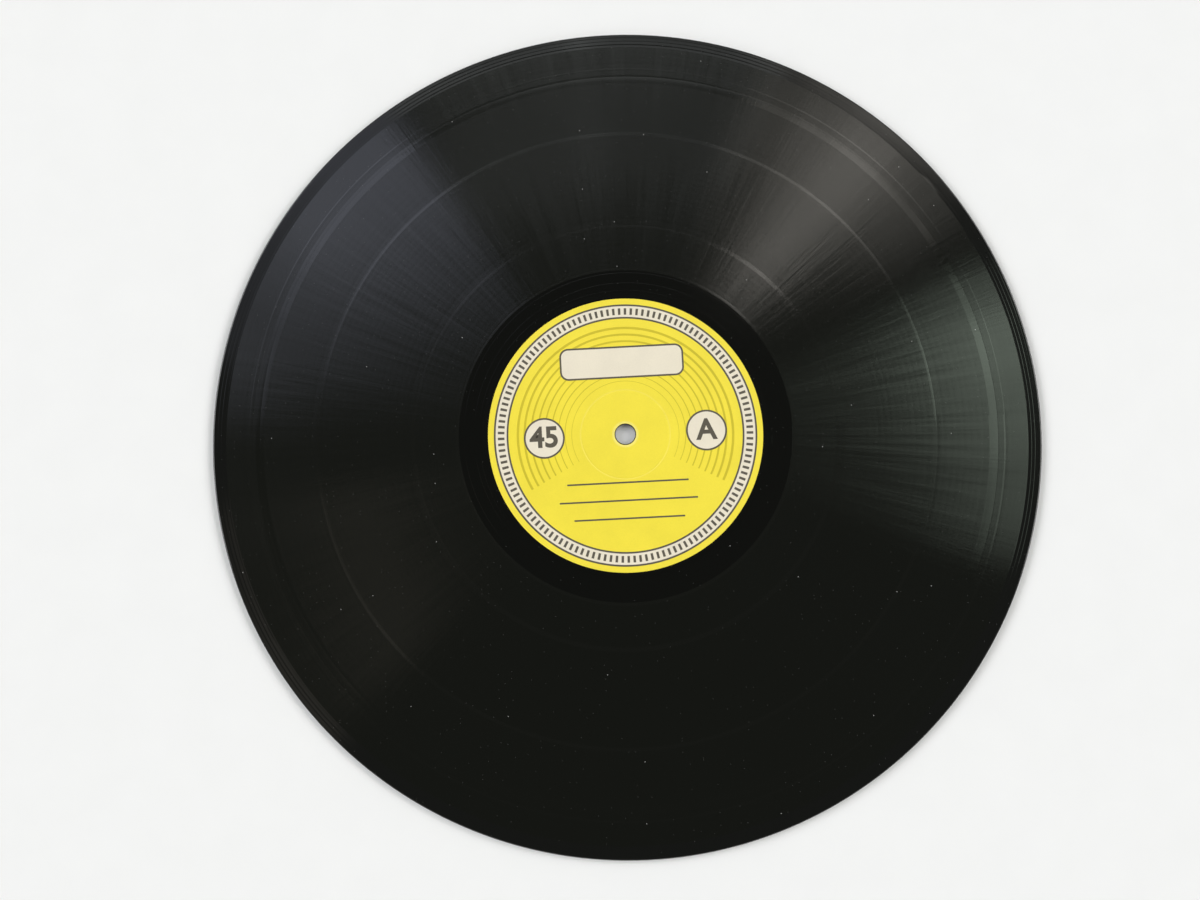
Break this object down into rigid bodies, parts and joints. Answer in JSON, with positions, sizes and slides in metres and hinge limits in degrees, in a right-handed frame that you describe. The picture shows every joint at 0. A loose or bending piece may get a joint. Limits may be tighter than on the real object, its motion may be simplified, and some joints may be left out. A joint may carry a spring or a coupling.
{
  "type": "vinyl record",
  "caption": "Flat round black vinyl disc with a spiral groove on both faces, a raised rim, a paper label moulded into each side and a spindle hole.",
  "frame": {"origin": "on the axis of the spindle hole, level with the outer face of the lower label, which the record rests on", "axes": "+Z along the spindle hole, out of side A; +Y towards the top of side A's label"},
  "size_m": [0.3016, 0.3016, 0.0021],
  "materials": {
    "vinyl": "gloss",
    "label_paper": "satin"
  },
  "bodies": {
    "root": {"disc": "vinyl", "label_a": "label_paper", "label_b": "label_paper"}
  },
  "joints": []
}
